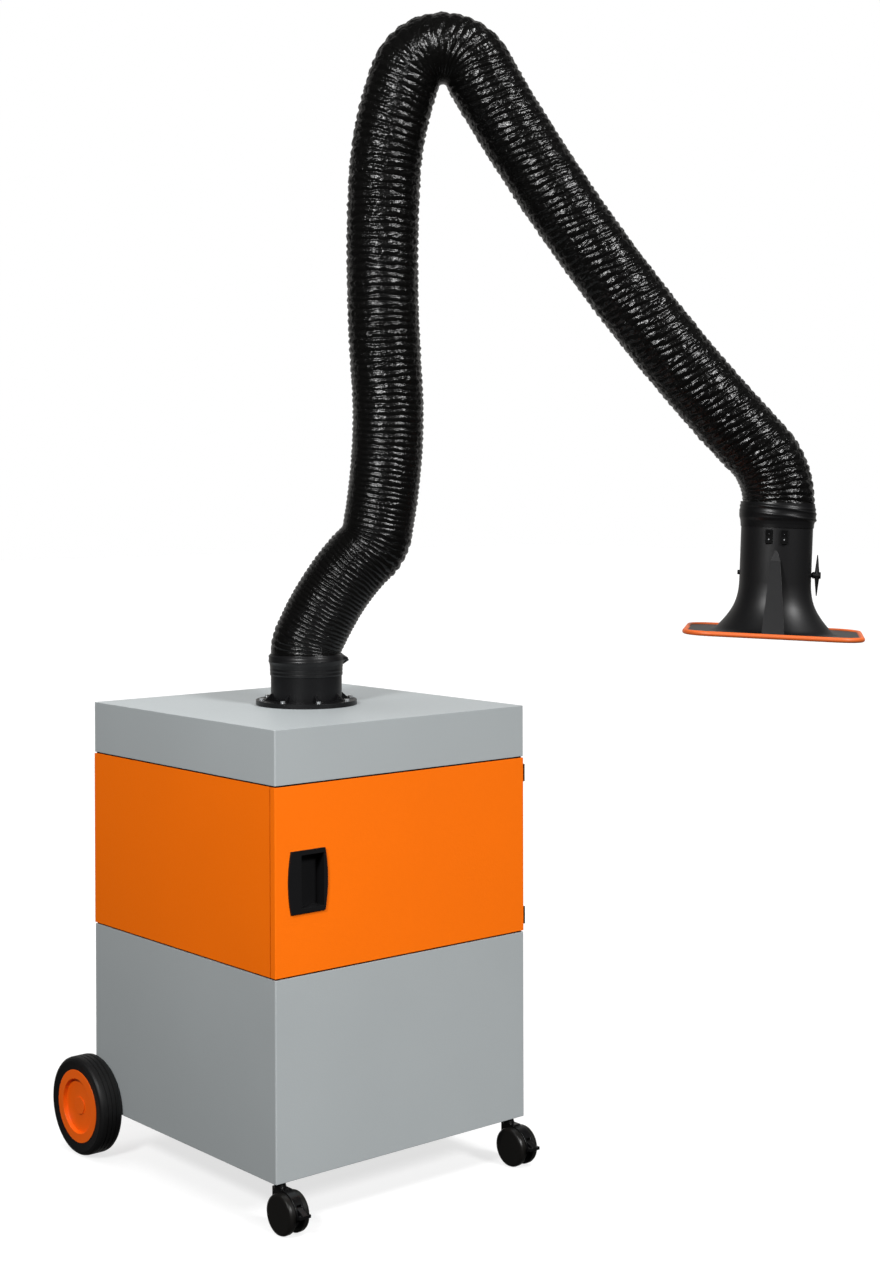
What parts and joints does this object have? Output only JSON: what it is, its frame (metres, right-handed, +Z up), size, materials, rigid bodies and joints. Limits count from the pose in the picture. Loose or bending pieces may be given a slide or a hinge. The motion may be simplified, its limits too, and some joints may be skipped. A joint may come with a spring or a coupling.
{
  "type": "mobile fume extractor",
  "caption": "Wheeled square filter cabinet with a hinged door, braked castors and a swivelling hose-covered extraction arm that carries a tilting hood with a damper",
  "frame": {"origin": "floor point under the centre of the cabinet, on the swivel axis of the arm", "axes": "+X to the right along the door, -Y out of the door, +Z up; the arm rests turned 39 degrees clockwise from +X as pictured"},
  "size_m": [1.3729, 1.2713, 2.4437],
  "materials": {
    "grey_paint": "satin powder coat",
    "orange_paint": "fine-texture powder coat",
    "bare_sheet": "galvanised",
    "filter_medium": "fibrous",
    "seal_rubber": "foam",
    "motor_paint": "satin",
    "steel": "zinc plated",
    "black_metal": "satin",
    "black_plastic": "fine grain",
    "hose_vinyl": "crumpled gloss",
    "tyre": "moulded",
    "castor_tread": "smooth",
    "orange_plastic": "smooth",
    "trim_rubber": "smooth",
    "lens": "clear"
  },
  "bodies": {
    "cabinet": {"lower_housing": "grey_paint", "middle_housing": "orange_paint", "top_cover": "grey_paint", "partition_plate": "bare_sheet", "filter_frame": "bare_sheet", "filter_pleats": "filter_medium", "filter_gasket": "seal_rubber", "spark_screen": "bare_sheet", "inlet_cone": "bare_sheet", "fan_scroll": "bare_sheet", "fan_stand": "bare_sheet", "fan_motor": "motor_paint", "exhaust_grille": "black_metal", "cord_gland": "black_plastic", "rear_axle": "steel", "axle_caps": "orange_plastic", "hinge_frame_leaves": "black_metal", "arm_flange": "black_metal", "flange_screws": "steel"},
    "door": {"door_panel": "orange_paint", "door_seal": "seal_rubber", "door_grip": "black_plastic", "hinge_door_leaves": "black_metal"},
    "fan": {"impeller": "bare_sheet", "motor_shaft": "steel"},
    "wheel_left": {"rear_tyre_left": "tyre", "rear_rim_left": "orange_plastic"},
    "wheel_right": {"rear_tyre_right": "tyre", "rear_rim_right": "orange_plastic"},
    "castor_left": {"castor_left_body": "black_plastic"},
    "castor_left_roll": {"castor_left_wheels": "castor_tread"},
    "castor_left_pedal": {"castor_left_brake": "black_plastic"},
    "castor_right": {"castor_right_body": "black_plastic"},
    "castor_right_roll": {"castor_right_wheels": "castor_tread"},
    "castor_right_pedal": {"castor_right_brake": "black_plastic"},
    "swivel": {"swivel_sleeve": "black_plastic", "foot_bracket": "steel", "foot_bolt": "steel", "hose_clip_foot": "black_metal", "hose_foot": "hose_vinyl"},
    "lower_arm": {"lower_link": "steel", "hose_lower": "hose_vinyl", "hose_elbow": "hose_vinyl"},
    "upper_arm": {"upper_link": "steel", "elbow_bolt": "steel", "hose_upper": "hose_vinyl", "hose_hood": "hose_vinyl"},
    "hood_joint": {"hood_cuff": "black_plastic", "hood_bracket": "steel", "hood_bolt": "steel"},
    "hood": {"hood_shell": "black_plastic", "hood_trim": "trim_rubber", "switch_bezels": "black_plastic", "lamp_lens": "lens"},
    "damper": {"damper_flap": "black_plastic", "damper_shaft": "black_plastic"},
    "rocker_left": {"switch_rocker_left": "black_plastic"},
    "rocker_right": {"switch_rocker_right": "black_plastic"}
  },
  "joints": [
    {"name": "arm_swivel", "type": "hinge", "parent": "cabinet", "child": "swivel", "pos_m": [0, 0, 1.03], "axis": [0, 0, 1], "continuous": true},
    {"name": "arm_foot", "type": "hinge", "parent": "swivel", "child": "lower_arm", "pos_m": [0.05114, -0.04172, 1.12], "axis": [-0.6322, -0.7748, 0], "range_deg": [-20, 20], "deforming": ["hose_foot"]},
    {"name": "arm_elbow", "type": "hinge", "parent": "lower_arm", "child": "upper_arm", "pos_m": [0.20487, -0.16715, 2.38812], "axis": [-0.6322, -0.7748, 0], "range_deg": [-8, 70], "deforming": ["hose_elbow"]},
    {"name": "hood_tilt", "type": "hinge", "parent": "upper_arm", "child": "hood_joint", "pos_m": [0.76321, -0.62268, 1.473], "axis": [-0.6322, -0.7748, 0], "range_deg": [-45, 45], "deforming": ["hose_hood"]},
    {"name": "hood_swivel", "type": "hinge", "parent": "hood_joint", "child": "hood", "pos_m": [0.7815, -0.6376, 1.34284], "axis": [0.0297, -0.0243, 0.9993], "range_deg": [-120, 120]},
    {"name": "damper_turn", "type": "hinge", "parent": "hood", "child": "damper", "pos_m": [0.77855, -0.6352, 1.24391], "axis": [0.6259, -0.779, -0.0375], "range_deg": [0, 90]},
    {"name": "rocker_left_press", "type": "hinge", "parent": "hood", "child": "rocker_left", "pos_m": [0.71132, -0.67262, 1.32556], "axis": [-0.6259, 0.779, 0.0375], "range_deg": [0, 15]},
    {"name": "rocker_right_press", "type": "hinge", "parent": "hood", "child": "rocker_right", "pos_m": [0.73135, -0.69755, 1.32436], "axis": [-0.6259, 0.779, 0.0375], "range_deg": [0, 15]},
    {"name": "door_hinge", "type": "hinge", "parent": "cabinet", "child": "door", "pos_m": [0.3335, -0.311, 0.6745], "axis": [0, 0, 1], "range_deg": [0, 110]},
    {"name": "fan_spin", "type": "hinge", "parent": "cabinet", "child": "fan", "pos_m": [0, 0, 0.34], "axis": [0, 0, 1], "continuous": true},
    {"name": "wheel_left_roll", "type": "hinge", "parent": "cabinet", "child": "wheel_left", "pos_m": [-0.357, 0.316, 0.104], "axis": [1, 0, 0], "continuous": true},
    {"name": "wheel_right_roll", "type": "hinge", "parent": "cabinet", "child": "wheel_right", "pos_m": [0.357, 0.316, 0.104], "axis": [1, 0, 0], "continuous": true},
    {"name": "castor_left_swivel", "type": "hinge", "parent": "cabinet", "child": "castor_left", "pos_m": [-0.302, -0.306, 0.097], "axis": [0, 0, 1], "continuous": true},
    {"name": "castor_left_spin", "type": "hinge", "parent": "castor_left", "child": "castor_left_roll", "pos_m": [-0.302, -0.331, 0.04], "axis": [1, 0, 0], "continuous": true},
    {"name": "castor_left_brake_press", "type": "hinge", "parent": "castor_left", "child": "castor_left_pedal", "pos_m": [-0.302, -0.361, 0.056], "axis": [1, 0, 0], "range_deg": [0, 15]},
    {"name": "castor_right_swivel", "type": "hinge", "parent": "cabinet", "child": "castor_right", "pos_m": [0.302, -0.306, 0.097], "axis": [0, 0, 1], "continuous": true},
    {"name": "castor_right_spin", "type": "hinge", "parent": "castor_right", "child": "castor_right_roll", "pos_m": [0.302, -0.331, 0.04], "axis": [1, 0, 0], "continuous": true},
    {"name": "castor_right_brake_press", "type": "hinge", "parent": "castor_right", "child": "castor_right_pedal", "pos_m": [0.302, -0.361, 0.056], "axis": [1, 0, 0], "range_deg": [0, 15]}
  ]
}
